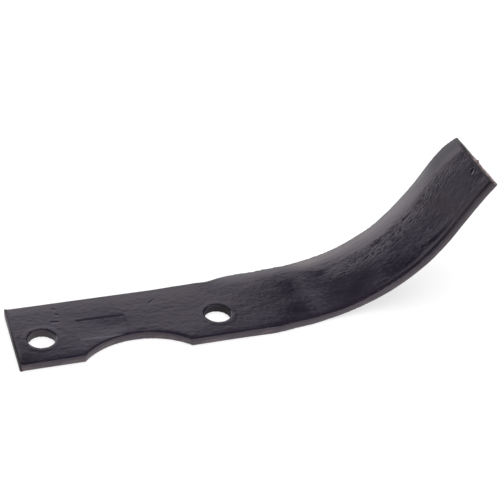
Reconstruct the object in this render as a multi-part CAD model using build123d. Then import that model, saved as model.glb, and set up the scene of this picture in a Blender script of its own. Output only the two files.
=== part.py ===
from build123d import *
import os
from math import atan2, cos, degrees, pi, radians, sin

# Rotary tiller blade: one piece of flat spring-steel bar. The shank bolts flat against
# the rotor flange. The other end is drawn out thin along its cutting edge, then bent
# up and swept to the side in a die, and its tip is sheared. Lengths are millimetres
# and angles are degrees. The origin is on the underside, on the axis of the end bolt
# hole. +X runs along the bar towards the tip, +Y towards the cutting edge, and +Z up,
# the way the tip is bent.

# Bar stock
bar_width = 42.7
thickness = 4.5
arris_radius = 0.8
sheared_arris_radius = 0.3

# Bolt holes, punched from the top face
bolt_hole_radius = 6.75
bolt_hole_spacing = 88.0
end_distance = 13.5
back_edge_distance = 16.4
hole_lip = 0.35

# Round notch in the back edge, half way between the holes, that clears the rotor hub
notch_radius = 37.4
notch_depth = 10.9

# Working end, drawn out from a shoulder just past the second hole
shoulder_start = 85.5
shoulder_length = 23.0
shoulder_width = 46.2
blade_width = 47.2
waist_depth = 1.4

# Bevel rolled off down to the cutting edge, narrow at the shoulder and wide in the bend
bevel_start_width = 8.0
bevel_start_drop = 1.1
bevel_width = 14.5
bevel_drop = 3.2
bevel_widening = 26.0
cutting_edge_radius = 0.4

# Bend, die and sweep
bend_start = 133.0
bend_inner_radius = 84.5
bend_angle = 63.0
bend_slant = 3.0
side_sweep = 7.5
bend_arris_radius = 1.8

# Tip, eased back after the bend, sheared askew and rounded off at the cutting edge
tip_length = 24.0
tip_ease_angle = 8.0
tip_skew = 2.3
tip_corner_length = 24.0
tip_corner_drop = 3.7

# Worked-out places along the bar
back_edge = -back_edge_distance
bar_middle = back_edge + bar_width / 2
shoulder_end = shoulder_start + shoulder_length
bend_outer_radius = bend_inner_radius + thickness
bend_length = bend_outer_radius * radians(bend_angle)
bend_end = bend_start + bend_length
tip = bend_end + tip_length
tip_ease_radius = tip_length / radians(tip_ease_angle)
blank_end = tip + 2 * tip_skew


def ease(share):
    """Soft step from 0 to 1 with no slope at either end."""
    share = min(max(share, 0.0), 1.0)
    return share * share * (3 - 2 * share)


def bend_at(distance):
    """Run along the ground, height and slope of the underside, along the bar."""
    turned = radians(min(max(distance - bend_start, 0.0) / bend_length, 1.0) * bend_angle)
    run = min(distance, bend_start) + bend_outer_radius * sin(turned)
    height = bend_outer_radius * (1 - cos(turned))
    eased = turned - max(distance - bend_end, 0.0) / tip_ease_radius
    run += tip_ease_radius * (sin(turned) - sin(eased))
    height += tip_ease_radius * (cos(eased) - cos(turned))
    return run, height, eased


def frame_at(distance):
    """Plane across the bar: local x towards the cutting edge, local y out of the top face."""
    run, height, slope = bend_at(distance)
    turn = radians(bend_slant) * ease((distance - shoulder_start) / shoulder_length)
    bent_run = max(run - shoulder_end, 0.0)
    # The bend lines are slanted, and the bar itself runs on straight in the flat
    straight = max(distance - shoulder_end, 0.0) * sin(turn)
    across = Vector(-sin(turn), cos(turn), 0)
    forward = Vector(cos(slope) * cos(turn), cos(slope) * sin(turn), sin(slope))
    middle = Vector(min(run, shoulder_end), bar_middle, height)
    middle += Vector(cos(turn), sin(turn), 0) * bent_run - across * straight
    return Plane(origin=middle, x_dir=across, z_dir=forward)


def edges_at(distance):
    """Back edge and cutting edge of the flat outline, from the bar's middle line."""
    drawn = ease((distance - shoulder_start) / shoulder_length)
    share = min(max((distance - shoulder_end) / (tip - shoulder_end), 0.0), 1.0)
    sweep = side_sweep * sin(pi / 2 * min(share / 0.8, 1.0))
    waist = waist_depth * sin(pi * share / 1.1) ** 4
    past_corner = max(distance - (tip - tip_corner_length), 0.0) / tip_corner_length
    corner = tip_corner_drop * past_corner**2
    widened = ease((distance - bend_start) / bevel_widening)
    full_width = shoulder_width + (blade_width - shoulder_width) * widened - waist - corner
    width = bar_width + (full_width - bar_width) * drawn
    back = sweep - bar_width / 2
    return back, back + width


def blade_section(distance):
    """Cross-section of the working end, its top rolling off down to the cutting edge."""
    back, edge = edges_at(distance)
    drawn = ease((distance - shoulder_start) / shoulder_length)
    widened = ease((distance - bend_start) / bevel_widening)
    width = bevel_start_width + (bevel_width - bevel_start_width) * widened
    drop = drawn * (bevel_start_drop + (bevel_drop - bevel_start_drop) * widened)
    edge_radius = arris_radius + (cutting_edge_radius - arris_radius) * drawn
    bevel_start = edge - width
    flats = Polyline(
        (bevel_start, thickness),
        (back, thickness),
        (back, 0),
        (edge, 0),
        (edge, thickness - drop),
    )
    roll_off = Bezier(
        (edge, thickness - drop),
        (edge - width / 2, thickness),
        (bevel_start, thickness),
    )
    profile = make_face(flats + roll_off)
    across = profile.vertices().group_by(Axis.X)
    back_corners = across[0].sort_by(Axis.Y)
    profile = fillet(back_corners[:1], arris_radius)
    back_top = profile.vertices().group_by(Axis.X)[0].sort_by(Axis.Y)[-1]
    profile = fillet(back_top, arris_radius + (bend_arris_radius - arris_radius) * widened)
    across = profile.vertices().group_by(Axis.X)
    return frame_at(distance) * fillet(across[-1], edge_radius)


def working_end():
    """The drawn-out and bent end, lofted through sections and sheared at the tip."""
    places = [shoulder_start + shoulder_length * k / 4 for k in (0, 0.6, 2, 3, 4)]
    places += [(shoulder_end + bend_start) / 2, bend_start]
    places += [bend_start + bend_length * k / 8 for k in range(1, 9)]
    places += [(bend_end + tip) / 2, tip, blank_end]
    blade_end = loft([blade_section(place) for place in places])
    back, edge = edges_at(tip)
    skew = degrees(atan2(tip_skew, edge - back))
    shear = frame_at(tip) * Pos(back, 0, 0) * Rot(0, -skew, 0)
    return blade_end - shear * Pos(0, 0, tip_length) * Box(
        4 * blade_width, 8 * thickness, 2 * tip_length
    )


def shank():
    """The flat part with rounded arrises and the hub notch, before the holes."""
    length = shoulder_start + end_distance
    bar = Pos(shoulder_start, bar_middle, 0) * Box(
        length, bar_width, thickness, align=(Align.MAX, Align.CENTER, Align.MIN)
    )
    notch_middle = back_edge + notch_depth - notch_radius
    bar -= Pos(bolt_hole_spacing / 2, notch_middle, 0) * Cylinder(notch_radius, 4 * thickness)
    sheared_end = -end_distance + arris_radius
    arrises = bar.edges().filter_by(
        lambda e: abs(e.tangent_at(0.5).Z) < 0.5
        and sheared_end < e.center().X < shoulder_start - arris_radius
    )
    bar = fillet(arrises, arris_radius)
    return fillet(bar.faces().sort_by(Axis.X)[0].outer_wire().edges(), sheared_arris_radius)


def punched_hole():
    """A bolt hole with the lip that the punch drags down round the top of it."""
    mouth = Pos(0, 0, thickness - hole_lip) * Cone(
        bolt_hole_radius,
        bolt_hole_radius + 2 * hole_lip,
        2 * hole_lip,
        align=(Align.CENTER, Align.CENTER, Align.MIN),
    )
    return Cylinder(bolt_hole_radius, 4 * thickness) + mouth


blade = shank() + working_end()
for x in (0, bolt_hole_spacing):
    blade -= Pos(x, 0, 0) * punched_hole()

os.makedirs("parts", exist_ok=True)
export_step(blade, "parts/tiller_blade.step")
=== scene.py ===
from math import radians

import bpy
import numpy as np
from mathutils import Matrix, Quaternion, Vector, noise


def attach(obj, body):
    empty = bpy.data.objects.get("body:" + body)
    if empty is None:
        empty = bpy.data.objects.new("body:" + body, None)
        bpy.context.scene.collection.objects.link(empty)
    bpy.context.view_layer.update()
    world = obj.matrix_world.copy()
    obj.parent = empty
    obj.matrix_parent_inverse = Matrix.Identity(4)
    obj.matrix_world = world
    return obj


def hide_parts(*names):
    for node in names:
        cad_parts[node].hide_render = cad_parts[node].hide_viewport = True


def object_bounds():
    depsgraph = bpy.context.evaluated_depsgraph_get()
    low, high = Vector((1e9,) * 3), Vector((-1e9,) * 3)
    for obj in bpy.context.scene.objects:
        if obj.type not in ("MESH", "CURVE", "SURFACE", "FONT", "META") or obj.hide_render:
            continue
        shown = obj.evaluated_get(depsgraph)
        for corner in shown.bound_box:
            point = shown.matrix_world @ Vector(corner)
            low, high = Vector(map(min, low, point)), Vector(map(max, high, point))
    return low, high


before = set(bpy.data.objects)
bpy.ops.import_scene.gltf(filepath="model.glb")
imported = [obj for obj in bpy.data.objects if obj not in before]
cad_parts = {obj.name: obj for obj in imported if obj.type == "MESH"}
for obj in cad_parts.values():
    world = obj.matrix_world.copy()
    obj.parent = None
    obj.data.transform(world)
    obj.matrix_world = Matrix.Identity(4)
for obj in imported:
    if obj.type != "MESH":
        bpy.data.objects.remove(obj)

cad_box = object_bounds()

# Forged blade
# One bar of spring steel, drawn out along its cutting edge and bent in a die while hot.
# The mesh is the bar from model.glb, made even and fine enough for the forging marks.
MM = 0.001
FORGED_GRAIN = 0.56 * MM

bpy.ops.object.select_all(action="DESELECT")
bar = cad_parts["tiller_blade"]
bar.select_set(True)
bpy.context.view_layer.objects.active = bar
bpy.ops.object.duplicate()
blade = bpy.context.object
blade.name = "forged_blade"
bpy.ops.object.mode_set(mode="EDIT")
bpy.ops.mesh.select_all(action="SELECT")
bpy.ops.mesh.remove_doubles(threshold=0.001 * MM)
bpy.ops.mesh.normals_make_consistent(inside=False)
bpy.ops.object.mode_set(mode="OBJECT")

even = blade.modifiers.new("even_grain", "REMESH")
even.mode = "VOXEL"
even.voxel_size = FORGED_GRAIN
bpy.ops.object.modifier_apply(modifier=even.name)
relaxed = blade.modifiers.new("relaxed", "SMOOTH")
relaxed.factor = 0.5
relaxed.iterations = 3
bpy.ops.object.modifier_apply(modifier=relaxed.name)
true_size = blade.modifiers.new("true_size", "SHRINKWRAP")
true_size.target = bar
bpy.ops.object.modifier_apply(modifier=true_size.name)

# The bar's own sizes in millimetres, with places along it counted from the end hole
SHOULDER_START, SHOULDER_END = 85.5, 108.5
BAR_MIDDLE, BAR_HALF_WIDTH, BAR_THICKNESS = 4.95, 21.35, 4.5
BEND_START, BEND_RADIUS, BEND_ANGLE = 133.0, 89.0, radians(63)
BEND_SLANT = radians(3)
TIP_RADIUS = 24.0 / radians(8)
SHANK_END, BLADE_END = -13.0, 256.0

points = np.empty(3 * len(blade.data.vertices))
blade.data.vertices.foreach_get("co", points)
points = points.reshape(-1, 3) / MM


def step(value, start, end):
    """Soft step from 0 at the start to 1 at the end."""
    share = np.clip((value - start) / (end - start), 0, 1)
    return share * share * (3 - 2 * share)


def bump(value, middle, reach):
    """A soft hump, 1 in its middle."""
    return np.exp(-(((value - middle) / reach) ** 2))


# Where each point of the mesh lay in the flat bar, before the bend
x, y, z = points.T
turn = BEND_SLANT * step(x, SHOULDER_START, SHOULDER_END)
dx, dy = x - SHOULDER_END, y - BAR_MIDDLE
ahead = dx * np.cos(turn) + dy * np.sin(turn)
run = np.where(ahead > 0, SHOULDER_END + ahead, x + dy * np.tan(turn))
round_bend = np.arctan2(np.maximum(run - BEND_START, 0), BEND_RADIUS - z)
end_x = BEND_START + BEND_RADIUS * np.sin(BEND_ANGLE) - run + TIP_RADIUS * np.sin(BEND_ANGLE)
end_z = z - BEND_RADIUS * (1 - np.cos(BEND_ANGLE)) + TIP_RADIUS * np.cos(BEND_ANGLE)
round_tip = np.arctan2(end_x, end_z)
in_tip = (round_bend > BEND_ANGLE) & (round_tip < BEND_ANGLE)

bent = np.minimum(round_bend, BEND_ANGLE)
slope = np.where(in_tip, round_tip, bent)
along = np.where(run < BEND_START, run, BEND_START + BEND_RADIUS * bent)
past_bend = TIP_RADIUS * (BEND_ANGLE - round_tip)
along = np.where(in_tip, BEND_START + BEND_RADIUS * BEND_ANGLE + past_bend, along)
height = np.where(run < BEND_START, z, BEND_RADIUS - np.hypot(run - BEND_START, BEND_RADIUS - z))
height = np.where(in_tip, np.hypot(end_x, end_z) - TIP_RADIUS, height)
sideways = -dx * np.sin(turn) + dy * np.cos(turn)
slanted = sideways + np.maximum(along - SHOULDER_END, 0) * np.sin(turn)
across = np.where(ahead > 0, slanted, dy / np.cos(turn))

# How far each point is from both edges, which are measured at every millimetre of the bar
places = np.arange(SHANK_END, BLADE_END)
cutting_edge = [across[abs(along - place) < 1].max() for place in places]
back_edge = [across[abs(along - place) < 1].min() for place in places]
from_edge = np.interp(along, places, cutting_edge) - across
from_back = across - np.interp(along, places, back_edge)

# Which way each point faces, seen from the flat bar
normals = np.empty(points.size)
blade.data.vertex_normals.foreach_get("vector", normals)
normals = normals.reshape(-1, 3)
turned_x, turned_y = np.cos(turn), np.sin(turn)
up = np.stack([-np.sin(slope) * turned_x, -np.sin(slope) * turned_y, np.cos(slope)], 1)
lengthwise = np.stack([np.cos(slope) * turned_x, np.cos(slope) * turned_y, np.sin(slope)], 1)
edgewise = np.stack([-turned_y, turned_x, 0 * turn], 1)
facing_up = (normals * up).sum(1)
facing_tip = (normals * lengthwise).sum(1)
top = step(facing_up, 0.5, 0.8)
flat = step(abs(facing_up), 0.5, 0.8)
drawn = step(along, 100, 125)


def grain(long, wide, deep, start, twist=0.0):
    """Noise over the flat bar, with grains of the given length, width and depth in mm."""
    u = along * np.cos(twist) + across * np.sin(twist)
    v = across * np.cos(twist) - along * np.sin(twist)
    spots = zip(u / long + start, v / wide, height / deep)
    return np.array([noise.noise(spot) for spot in spots])


# Forging marks
# Rolling and hammering leave the hot steel gently uneven. The hammer's blows follow each other
# along the bevel, and the scale at the bevel's foot is pressed in as crinkles.

# Height of each layer of waves, where it lies, and its grain's length, width, depth and start
WAVES = [
    (0.05, flat, (22, 13, 9, 3)),
    (0.035, flat * drawn, (10, 7, 9, 21)),
    (0.016, flat, (5, 3, 9, 12)),
    (0.018, 1, (2.8, 1.6, 1.6, 40)),
    (0.012, 1, (1.4, 1.1, 1.1, 60)),
]
lift = sum(wave * where * grain(*sizes) for wave, where, sizes in WAVES)

# Place along the bar, distance from the cutting edge, radius and depth of each blow. A depth
# below 0 is steel that was left standing, or pushed up, between the blows.
BLOWS = [
    (126, 5, 8, 0.05),
    (135, 5, 7, 0.05),
    (143, 9, 8, 0.09),
    (151, 7, 7, -0.10),
    (152, 14, 3.5, -0.13),
    (159, 13, 8, 0.35),
    (178, 9, 9, 0.12),
    (196, 7, 8, 0.12),
    (214, 11, 9, 0.10),
    (225, 16.5, 10, -0.08),
]
for blow_along, blow_in, radius, depth in BLOWS:
    lift -= depth * top * bump(along, blow_along, radius) * bump(from_edge, blow_in, radius * 0.7)

# Patches of pressed-in scale: place along the bar, distance from the edge, half length, strength
SCALE_PATCHES = [
    (157, 20, 9, 0.35),
    (169, 19, 9, 0.65),
    (187, 20, 11, 0.8),
    (204, 17.5, 9, 0.8),
    (219, 17, 8, 0.6),
    (231, 17, 8, 0.6),
    (243, 16, 6, 0.45),
]
PATCH_HALF_WIDTH = 5
CRINKLE_DEPTH, PIT_DEPTH = 0.02, 0.008
crinkled = 0
for patch_along, patch_in, half_length, strength in SCALE_PATCHES:
    beside_foot = bump(from_edge, patch_in, PATCH_HALF_WIDTH)
    crinkled += strength * bump(along, patch_along, half_length) * beside_foot
crinkled = np.clip(1.2 * top * crinkled * (1 + 1.4 * grain(6, 2.5, 9, 95)), 0, 1)
lift += CRINKLE_DEPTH * crinkled * (0.5 - 3 * abs(grain(5.0, 1.4, 9, 80, twist=0.17)))
# Scale has finely pitted the face of the upper bend, behind the bevel
pitted = top * step(along, 170, 215) * step(from_edge, 12, 18) * step(from_back, 3, 7)
lift += PIT_DEPTH * pitted * (1 - 3 * abs(grain(2.4, 1.5, 9, 130, twist=0.35)))

# The face falls away softly before the bevel starts, and sags a little where the bend starts
SHOULDER_FALL, BEND_SAG = 0.15, 0.16
lift -= SHOULDER_FALL * top * bump(along, 112, 12) * step(from_edge, 15, 5)
sagging = step(along, 116, 150) * step(along, 170, 150)
lift -= BEND_SAG * top * sagging * step(from_edge, 10, 26)

# Where the die gripped the upper bend along its back, the steel swelled into a low ridge
RIDGE_STAND, RIDGE_HALF_WIDTH = 0.06, 1.8
ridge_line = np.interp(along, (205, 230, 250), (8.0, 4.6, 4.0))
lift += RIDGE_STAND * top * step(along, 198, 222) * bump(from_back, ridge_line, RIDGE_HALF_WIDTH)

# The hammer spreads the cutting edge to a crisp lip. Both edges wander by up to a millimetre:
# each pair is a place along the bar and how far the edge stands out there.
LIP_STAND, LOWER_ARRIS_STAND, NOTCH_STAND = 0.25, 0.12, 0.35
lift += LIP_STAND * bump(facing_up, 0.5, 0.35) * step(from_edge, 2.2, 0.6) * drawn
lift += LOWER_ARRIS_STAND * bump(facing_up, -0.7, 0.25)
EDGE_WANDER = [(75, 0.5), (84, 0.8), (90, 0.4), (97, 0.8), (106, 0.9), (112, 0.9), (118, 0.1)]
EDGE_WANDER += [(130, -0.2), (137, -0.2), (143, 0.2), (149, 0.6), (155, 0.8), (168, 0.4)]
EDGE_WANDER += [(180, 0.4), (194, 0.0), (206, 0.5), (214, 1.1), (222, 0.2), (230, -0.1)]
EDGE_WANDER += [(237, -0.1), (243, 0.2), (250, 0.6), (255, 0.3)]
BACK_WANDER = [(100, 0.1), (118, 0.5), (130, 0.35), (142, -0.4), (154, -0.45), (166, -0.3)]
BACK_WANDER += [(178, 0.1), (202, 0.3), (214, -0.1), (226, -0.4), (238, -0.1), (252, 0.4)]
near_edge, near_back = step(from_edge, 7, 0), step(from_back, 7, 0)
widened = np.interp(along, *zip(*EDGE_WANDER)) * step(along, 60, 75) * near_edge
widened -= np.interp(along, *zip(*BACK_WANDER)) * step(along, 90, 100) * near_back
widened -= NOTCH_STAND * bump(along, 44, 22) * near_back

# Sheared ends and back
# The shears drag the top of the bar down along its back edge into a soft roll. They leave the
# shank's end square and sharp, and the tip's end torn, with a burr standing on it.
SHEAR_ROLL, BEND_ARRIS_STAND = 0.08, 0.35
in_bend = step(along, 160, 220)
lift -= SHEAR_ROLL * step(from_back, 1.3 + 0.5 * in_bend, 0.0) * step(facing_up, 0.0, 0.6)
lift += BEND_ARRIS_STAND * in_bend * bump(facing_up, 0.7, 0.25) * step(from_back, 4, 1)

# Wide soft rolls of the top: along the back edge up to the bend, wider near the shank's end,
# deepest at that end's back corner, and along the shank's other edge
lift -= 0.05 * top * step(from_back, 3.6, 0.5) * step(along, 195, 150)
lift -= 0.08 * top * step(from_back, 9, 0) * step(along, 30, 5)
lift -= 0.20 * top * step(from_edge, 20, 40) * step(along, -3, -13)
lift -= 0.10 * top * near_edge * step(along, 90, 80)

# The tip is sheared askew, so it reaches further along the bar at the cutting edge
END_STAND, TIP_ROLL, TORN_STAND, TORN_GRAIN = 0.5, 0.12, 0.3, 0.12
TIP_PLACE, TIP_SKEW = 254.9, 0.052
square_end = step(along, -11.8, -12.8)
lift += END_STAND * square_end
from_tip = TIP_PLACE + TIP_SKEW * from_back - along
lift -= TIP_ROLL * top * step(from_tip, 2.2, 0.0)
torn = step(facing_tip, 0.6, 0.9) * step(along, 251, 253)
lift += torn * (TORN_GRAIN * grain(9, 1.1, 1.6, 150) + TORN_STAND)
# Distance from the back edge, half width and height of each burr
BURRS = [(17.8, 0.9, 2.6), (16.0, 0.6, 0.5), (14.0, 0.7, 0.3), (9.0, 0.6, 0.35), (4.0, 0.8, 0.3)]
for place, half_width, stand in BURRS:
    lift += torn * stand * bump(from_back, place, half_width) * bump(height, 4.2, 1.2)

# Punched holes
# Two holes for the flange bolts, punched through the cold bar from its top. The punch drags the
# top of the steel down round each hole, and leaves a thin raised rim.
HOLE_RADIUS = 6.75
RIM_STAND, MOUTH_ARRIS_STAND = 0.03, 0.2
# Place along the bar, and how much near-black painted shade darkens its bore
HOLES = [(0.0, 0.55), (88.0, 1.0)]
in_bore = 0
for hole, bore_shade in HOLES:
    out = np.hypot(along - hole, across + BAR_MIDDLE) - HOLE_RADIUS
    lift += top * (RIM_STAND * bump(out, 2.0, 0.7) - RIM_STAND * step(out, 1.6, 0.6))
    lift += MOUTH_ARRIS_STAND * bump(facing_up, 0.7, 0.25) * step(out, 2.0, 1.0)
    in_bore = np.maximum(in_bore, bore_shade * step(out, 0.9, 0.3))

# Die strike
# A blank flat die is struck into the shank beside the notch. It leaves a shallow bed with a
# crisp border where the die's edge bit, and the shank's top sinks a little under the blow.

# Middle of the bed, from the end hole, and its half length and half width
BED_MIDDLE, BED_HALF = (30.0, 2.2), (12.0, 7.4)
BED_TURN = radians(-1.5)
BED_DEPTH, BORDER_DEPTH, SUNK_DEPTH = 0.09, 0.03, 0.24
bed_x, bed_y = along - BED_MIDDLE[0], across + BAR_MIDDLE - BED_MIDDLE[1]
bed_along = bed_x * np.cos(BED_TURN) + bed_y * np.sin(BED_TURN)
bed_across = bed_y * np.cos(BED_TURN) - bed_x * np.sin(BED_TURN)
in_bed = -np.maximum(abs(bed_along) - BED_HALF[0], abs(bed_across) - BED_HALF[1])
lift -= top * (BED_DEPTH * step(in_bed, -0.3, 0.6) + BORDER_DEPTH * bump(in_bed, 0.2, 0.5))
lift -= SUNK_DEPTH * top * bump(along, 33, 10) * bump(from_edge, 25, 8)

# Knocks
# Blades are tumbled and handled in the heap, which leaves short nicks, a scar and a pit. Each
# is a scratch by the corner of another blade, and has a low rim pushed up beside it.

# Both ends of each scratch, along the bar and across it from its middle, half width and depth
KNOCKS = [
    ((9.2, 16.2), (10.6, 15.3), 0.50, 0.11),
    ((9.8, 11.6), (11.2, 10.8), 0.45, 0.12),
    ((6.6, 6.1), (9.8, 5.8), 0.50, 0.16),
    ((56.6, 10.2), (59.4, 12.4), 0.40, 0.12),
    ((250.6, 0.5), (252.0, 1.2), 0.55, 0.22),
    ((252.0, 1.2), (256.5, 4.4), 0.35, 0.03),
]
# Height of the rim, as a share of the scratch's depth
RIM_SHARE = 0.35
for start, stop, half_width, depth in KNOCKS:
    span = np.subtract(stop, start)
    past_start, beside_start = along - start[0], across - start[1]
    share = np.clip((past_start * span[0] + beside_start * span[1]) / (span @ span), 0, 1)
    off = np.hypot(past_start - share * span[0], beside_start - share * span[1])
    rim = RIM_SHARE * bump(off, 1.6 * half_width, 0.5 * half_width)
    lift += top * depth * (rim - bump(off, 0, half_width))

# The shank's end is held square, and leans in by a little towards the underside
ROLLED_IN, END_LEAN = 0.12, 0.6
points += normals * lift[:, None] + edgewise * widened[:, None]
end_half_width = BAR_HALF_WIDTH - ROLLED_IN
end_low = (-np.inf, BAR_MIDDLE - end_half_width, 0)
end_high = (np.inf, BAR_MIDDLE + end_half_width, BAR_THICKNESS)
squared = np.clip(points, end_low, end_high)
squared[:, 0] += END_LEAN * square_end * (1 - height / BAR_THICKNESS)
points = np.where((square_end > 0)[:, None], squared, points)
low, high = np.array(cad_box[0]) / MM, np.array(cad_box[1]) / MM
points = np.clip(points, low, high)
blade.data.vertices.foreach_set("co", (points * MM).ravel())
blade.data.update()
bpy.ops.object.shade_smooth()


# Black paint
# The blade is dipped in black stoving enamel straight over the forge scale. It lies glossy on
# the faces, so they mirror the room softly. It is thinner and duller on the sheared sides, where
# the brown-black scale shows, and the sheared tip is left bright.
enamel = bpy.data.materials.new("black_stoving_enamel")
enamel.use_nodes = True
shader = enamel.node_tree.nodes["Principled BSDF"]
shader.inputs["IOR"].default_value = 1.6
# The gloss has a slight violet cast
shader.inputs["Specular Tint"].default_value = (1.0, 0.89, 1.0, 1.0)


def srgb(hex_colour):
    """A colour written as sRGB hex, as the linear values that the shader takes."""
    parts = [int(hex_colour[i : i + 2], 16) / 255 for i in (1, 3, 5)]
    return [c / 12.92 if c <= 0.04045 else ((c + 0.055) / 1.055) ** 2.4 for c in parts] + [1]


def add_node(material, kind, settings):
    """Add a node. A setting is an option, an input's value, or a node or output linked to it."""
    tree = material.node_tree
    node = tree.nodes.new(kind)
    for name, value in settings.items():
        if isinstance(value, bpy.types.Node):
            value = value.outputs[0]
        if isinstance(value, bpy.types.NodeSocket):
            tree.links.new(value, node.inputs[name])
        elif isinstance(name, str) and hasattr(node, name):
            setattr(node, name, value)
        else:
            node.inputs[name].default_value = value
    return node


# The paint follows the flat bar, so its patterns run round the bend with the steel
flat_place = blade.data.attributes.new("flat_place", "FLOAT_VECTOR", "POINT")
flat_place.data.foreach_set("vector", (np.stack([along, across, height], 1) * MM).ravel())
over_bar = add_node(enamel, "ShaderNodeAttribute", {"attribute_name": "flat_place"}).outputs["Vector"]
upright = step(facing_up, -0.9, -0.6)
sheared = step(facing_up, 0.45, 0.15) * upright
painted_side = sheared * (1 - in_bore) * step(from_edge, 2, 5)

# Cut steel stays matt under the paint: in the bores, round the shank's end, along the rim of the
# cutting edge, high on the sides, on the back arris of the bend, and at the tip's end. Its near-black
# tint is also painted shade in the bores, at the shank's end, high on the sides and on the bend's
# back arris.
matt_and_shaded_places = [
    in_bore * sheared,
    upright * step(along, -12.3, -13.1) * (0.4 + 0.6 * step(from_edge, 10, 30)),
    0.7 * drawn * step(from_edge, 0.9, 0.3),
    0.6 * sheared * (1 - in_bore) * step(height, 1.6, 4.0),
    0.8 * in_bend * bump(facing_up, 0.5, 0.5) * step(from_back, 5, 3),
    0.8 * top * step(from_tip, 1.5, 0.6),
]

# The paint wears through low on the sides, and the bevel round the bend is tinted lighter as a
# painted highlight
worn_side = np.maximum(step(grain(7, 3, 2.5, 210), -0.1, 0.35), 0.6 * step(height, 1.6, 0.5))
worn_side *= painted_side * step(height, 5.0 - in_bend, 1.0)
on_bevel = top * step(from_edge, 10, 4) * step(along, 134, 146) * step(along, 224, 212)
bevel_highlight = (0.55 + 0.3 * bump(along, 147, 12)) * on_bevel
top_arris = bump(facing_up, 0.72, 0.16) * (1 - in_bore)

# Each mark is one number per point of the mesh, which the paint's nodes read
marks = {
    "thin_paint": painted_side,
    "bare_steel": torn * step(from_back + 9 * grain(9, 3, 2, 190), 24, 18),
    "crinkled": np.clip(crinkled + 0.2 * pitted, 0, 1),
    "matt_cut_and_shade": np.maximum.reduce(matt_and_shaded_places),
    "worn_paint_and_highlight": np.maximum(worn_side, bevel_highlight * (1 + 0.6 * grain(12, 1.5, 3, 230))),
    "dull_tip": top * step(along, 222, 242) * step(from_edge, 15, 6),
    "drawn_fibres": top * drawn * step(from_edge, 16, 10),
    "arris_wear_and_highlight": top_arris * step(grain(6, 6, 3, 170), -0.25, 0.25),
}
marked = {}
for name, values in marks.items():
    blade.data.attributes.new(name, "FLOAT", "POINT").data.foreach_set("value", values)
    marked[name] = add_node(enamel, "ShaderNodeAttribute", {"attribute_name": name}).outputs["Fac"]

# Length and width of each pattern's grains in mm, its detail, and its turn off the bar's line
PATTERNS = {
    "dip": (16, 9, 3.0, 0),
    "rubbing": (2.5, 1.2, 2.0, 0),
    "orange_peel": (1.2, 0.9, 1.5, 0),
    "scale_streaks": (9, 0.7, 2.0, 0),
    "mottle": (2.6, 1.4, 1.0, 0),
    "drawn_fibres": (11, 0.6, 2.0, 0),
    "folds": (5.0, 1.3, 1.5, radians(10)),
}
pattern = {}
for name, (long, wide, detail, turned) in PATTERNS.items():
    stretch = {"vector_type": "TEXTURE", "Rotation": (0, 0, turned), "Vector": over_bar}
    stretch["Scale"] = (long * MM, wide * MM, wide * MM)
    stretched = add_node(enamel, "ShaderNodeMapping", stretch)
    grains = {"Scale": 1.0, "Detail": detail, "Roughness": 0.55, "Vector": stretched}
    pattern[name] = add_node(enamel, "ShaderNodeTexNoise", grains)

# Thin places of the dip show the brown-black scale, and the sides show it more. Each tint lies
# over the one before it by its share.
dip = add_node(enamel, "ShaderNodeMapRange", {0: pattern["dip"], 1: 0.35, 2: 0.65, 3: 0, 4: 1})
# The top arris is tinted lighter in rubbed spots: worn paint, and a painted highlight along the edge
spots = {0: pattern["rubbing"], 1: 0.45, 2: 0.6, 3: 0, 4: 0.6}
rub_spots = add_node(enamel, "ShaderNodeMapRange", spots)
rubbed_and_highlit = {"operation": "MULTIPLY", 0: marked["arris_wear_and_highlight"], 1: rub_spots}
TINTS = [
    (dip, "#1B1626"),
    (marked["thin_paint"], "#29242A"),
    # Lighter: worn paint low on the sides, and a painted highlight on the bevel round the bend
    (marked["worn_paint_and_highlight"], "#4A4043"),
    # Near-black: matt cut steel, with painted shade in the bores, at the shank's end, high on the
    # sides and on the bend's back arris
    (marked["matt_cut_and_shade"], "#0D0A0B"),
    (add_node(enamel, "ShaderNodeMath", rubbed_and_highlit), "#4A4347"),
    (marked["bare_steel"], "#9C8B88"),
]
colour = srgb("#15101D")
for share, tint in TINTS:
    laid = {"data_type": "RGBA", 0: share, 6: colour, 7: srgb(tint)}
    colour = add_node(enamel, "ShaderNodeMix", laid).outputs[2]
enamel.node_tree.links.new(colour, shader.inputs["Base Color"])

# Glossy where the dip is thick, duller where it is thin or matt, and grained where it was torn
DULLER = [
    (marked["thin_paint"], 0.42),
    (marked["matt_cut_and_shade"], 0.8),
    (marked["dull_tip"], 0.52),
    (marked["bare_steel"], 0.38),
]
gloss = add_node(enamel, "ShaderNodeMapRange", {0: dip, 1: 0, 2: 1, 3: 0.13, 4: 0.20})
for share, roughness in DULLER:
    gloss = add_node(enamel, "ShaderNodeMix", {0: share, 2: gloss, 3: roughness})
enamel.node_tree.links.new(gloss.outputs[0], shader.inputs["Roughness"])
enamel.node_tree.links.new(marked["bare_steel"], shader.inputs["Metallic"])

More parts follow.
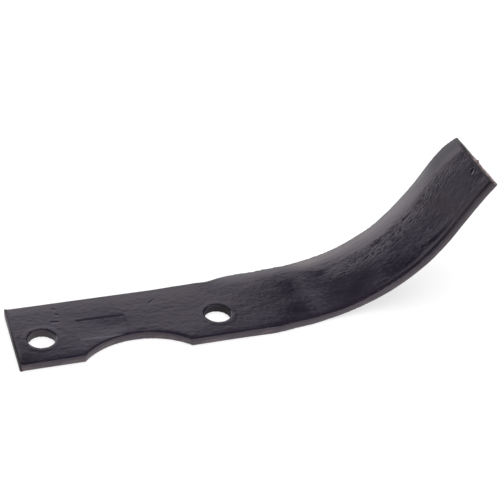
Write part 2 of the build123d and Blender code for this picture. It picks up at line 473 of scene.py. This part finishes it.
# Orange peel about 1 mm across, the scale's fine streaks along the bar, a mottle of 2 mm, drawn
# fibres on the bevel, and the thin folds of the crinkled scale: each with its height in mm
fibre_map = {"operation": "MULTIPLY", 0: pattern["drawn_fibres"], 1: marked["drawn_fibres"]}
folded = add_node(enamel, "ShaderNodeMath", {"operation": "PINGPONG", 0: pattern["folds"], 1: 0.5})
crests = add_node(enamel, "ShaderNodeMapRange", {0: folded, 1: 0.40, 2: 0.5, 3: 0, 4: 1})
fold_map = {"operation": "MULTIPLY", 0: crests, 1: marked["crinkled"]}
RELIEF = [
    (pattern["orange_peel"], 0.012),
    (pattern["scale_streaks"], 0.005),
    (pattern["mottle"], 0.02),
    (add_node(enamel, "ShaderNodeMath", fibre_map), 0.05),
    (add_node(enamel, "ShaderNodeMath", fold_map), 0.10),
]
under = {}
for height_map, rise in RELIEF:
    raised = {"Strength": 1.0, "Distance": rise * MM, "Height": height_map, **under}
    under = {"Normal": add_node(enamel, "ShaderNodeBump", raised).outputs[0]}
enamel.node_tree.links.new(under["Normal"], shader.inputs["Normal"])

blade.data.materials.clear()
blade.data.materials.append(enamel)
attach(blade, "root")
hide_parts("tiller_blade")

# Floor
# A plain white table top that only catches the blade's soft shadow. It turns a pure white away
# from the blade, and it is seen from above only, so the underside can be looked at as well.
TABLE_SIZE, TABLE_GAP = 12, 0.02 * MM
NEAR_WHITE, MIRRORED_WHITE = 0.68, 0.88
bpy.ops.object.select_all(action="DESELECT")
bpy.ops.mesh.primitive_plane_add(size=TABLE_SIZE, location=(0, 0, cad_box[0][2] - TABLE_GAP))
floor = bpy.context.object
floor.name = "table_top"
white = bpy.data.materials.new("white_table")
white.use_nodes = True
table_shader = white.node_tree.nodes["Principled BSDF"]
table_shader.inputs["Base Color"].default_value = srgb("#B4B4B4")
table_shader.inputs["Roughness"].default_value = 0.9
path = add_node(white, "ShaderNodeLightPath", {})
table_place = add_node(white, "ShaderNodeTexCoord", {}).outputs["Object"]
length = {"operation": "LENGTH", 0: table_place}
away = add_node(white, "ShaderNodeVectorMath", length).outputs["Value"]
whiter = add_node(white, "ShaderNodeMapRange", {0: away, 1: 0.5, 2: 1.5, 3: NEAR_WHITE, 4: 1.0})
to_camera = {"operation": "MULTIPLY", 0: path.outputs["Is Camera Ray"], 1: whiter}
to_mirror = {"operation": "MULTIPLY", 0: path.outputs["Is Glossy Ray"], 1: MIRRORED_WHITE}
seen = add_node(white, "ShaderNodeMath", to_camera)
mirrored = add_node(white, "ShaderNodeMath", to_mirror)
glow = add_node(white, "ShaderNodeMath", {"operation": "MAXIMUM", 0: seen, 1: mirrored})
table_shader.inputs["Emission Color"].default_value = (1, 1, 1, 1)
white.node_tree.links.new(glow.outputs[0], table_shader.inputs["Emission Strength"])
clear = add_node(white, "ShaderNodeBsdfTransparent", {})
from_below = add_node(white, "ShaderNodeNewGeometry", {}).outputs["Backfacing"]
one_sided = add_node(white, "ShaderNodeMixShader", {0: from_below, 1: table_shader, 2: clear})
table_surface = white.node_tree.nodes["Material Output"].inputs["Surface"]
white.node_tree.links.new(one_sided.outputs[0], table_surface)
floor.data.materials.append(white)

# Light
# A plain studio: a tall softbox stands behind the table, the wall in front gives a low even
# fill, and the ceiling stays dark. The softbox ends just right of the bend.
world = bpy.data.worlds.new("studio")
bpy.context.scene.world = world
world.use_nodes = True
room = world.node_tree.nodes["Background"]
room.inputs["Color"].default_value = (1, 1, 1, 1)
towards = add_node(world, "ShaderNodeTexCoord", {}).outputs["Generated"]
aim = add_node(world, "ShaderNodeSeparateXYZ", {0: towards})
upwards = aim.outputs["Z"]
turned_right = {"operation": "ARCTAN2", 0: aim.outputs["X"], 1: aim.outputs["Y"]}
right_of_back = add_node(world, "ShaderNodeMath", turned_right)

# The softbox has a slanted right end, a left end and a slanted top, and it brightens leftwards.
# Turns are radians to the right of straight back, and heights are the sine of the angle upwards.
SOFT = {"interpolation_type": "SMOOTHSTEP"}
lean = add_node(world, "ShaderNodeMapRange", {**SOFT, 0: upwards, 1: 0.59, 2: 0.45, 3: 0, 4: -0.10})
leaning = add_node(world, "ShaderNodeMath", {"operation": "ADD", 0: right_of_back, 1: lean})
right_end = add_node(world, "ShaderNodeMapRange", {**SOFT, 0: leaning, 1: 0.44, 2: 0.35, 3: 0, 4: 1})
left_edge = {**SOFT, 0: right_of_back, 1: -0.75, 2: -0.68, 3: 0.27, 4: 1}
left_end = add_node(world, "ShaderNodeMapRange", left_edge)
falling_top = {0: right_of_back, 1: -0.385, 2: -1.01, 3: 0, 4: 0.48}
top_slant = add_node(world, "ShaderNodeMapRange", falling_top)
slanted = add_node(world, "ShaderNodeMath", {"operation": "ADD", 0: upwards, 1: top_slant})
top_end = add_node(world, "ShaderNodeMapRange", {**SOFT, 0: slanted, 1: 0.69, 2: 0.60, 3: 0, 4: 1})
brightening = {0: right_of_back, 1: 0.35, 2: -0.45, 3: 1.07, 4: 1.85}
strength = add_node(world, "ShaderNodeMapRange", brightening)
box_width = add_node(world, "ShaderNodeMath", {"operation": "MULTIPLY", 0: right_end, 1: left_end})
box_level = add_node(world, "ShaderNodeMath", {"operation": "MULTIPLY", 0: top_end, 1: strength})
softbox = add_node(world, "ShaderNodeMath", {"operation": "MULTIPLY", 0: box_width, 1: box_level})

# The fill comes from the lower part of the wall in front, and the rest of the room is dim
AWAY_FROM_WALL = (-0.3, 0.954, 0)
facing_away = {"operation": "DOT_PRODUCT", 0: towards, 1: AWAY_FROM_WALL}
away_from_wall = add_node(world, "ShaderNodeVectorMath", facing_away).outputs["Value"]
wall_width = {**SOFT, 0: away_from_wall, 1: -0.35, 2: -0.8, 3: 0, 4: 2.0}
wall = add_node(world, "ShaderNodeMapRange", wall_width)
wall_top = add_node(world, "ShaderNodeMapRange", {**SOFT, 0: upwards, 1: 0.60, 2: 0.25, 3: 0, 4: 1})
front_fill = add_node(world, "ShaderNodeMath", {"operation": "MULTIPLY", 0: wall, 1: wall_top})
ceiling = {**SOFT, 0: upwards, 1: 0.60, 2: 0.72, 3: 0.06, 4: 0.19}
dim_room = add_node(world, "ShaderNodeMapRange", ceiling)
lamps = add_node(world, "ShaderNodeMath", {"operation": "MAXIMUM", 0: softbox, 1: front_fill})
lit = add_node(world, "ShaderNodeMath", {"operation": "ADD", 0: lamps, 1: dim_room})
seen_white = add_node(world, "ShaderNodeLightPath", {}).outputs["Is Camera Ray"]
shown = add_node(world, "ShaderNodeMath", {"operation": "MAXIMUM", 0: lit, 1: seen_white})
world.node_tree.links.new(shown.outputs[0], room.inputs["Strength"])

# A wide diffuser overhead lights the table and the dull places, and the gloss doesn't mirror it
OVERHEAD_SIZE, OVERHEAD_HEIGHT, OVERHEAD_LEVEL = 3.0, 2.5, 2.1
BLADE_MIDDLE = 120 * MM
bpy.ops.object.light_add(type="AREA", location=(BLADE_MIDDLE, 0, OVERHEAD_HEIGHT))
overhead = bpy.context.object
overhead.name = "overhead_diffuser"
overhead.data.size = OVERHEAD_SIZE
overhead.data.energy = OVERHEAD_LEVEL * np.pi * OVERHEAD_SIZE**2
overhead.visible_glossy = False
overhead.visible_camera = False
bpy.context.scene.view_settings.view_transform = "Standard"

# Camera
# A long lens looks down on the blade from its front left, about 0.7 metres away. It is rolled a
# little, which sets the shank at the slope that it has in the photograph.
CAMERA_PLACE = Vector((-85.6, -463.5, 391.9)) * MM
CAMERA_TARGET = Vector((123.7, 54.1, 0.0)) * MM
CAMERA_ROLL = radians(5.68)
bpy.ops.object.camera_add(location=CAMERA_PLACE)
camera = bpy.context.object
camera.data.lens = 90.9
camera.data.sensor_width = 36
look = (CAMERA_TARGET - CAMERA_PLACE).to_track_quat("-Z", "Y")
camera.rotation_euler = (look @ Quaternion((0, 0, 1), CAMERA_ROLL)).to_euler()
bpy.context.scene.camera = camera
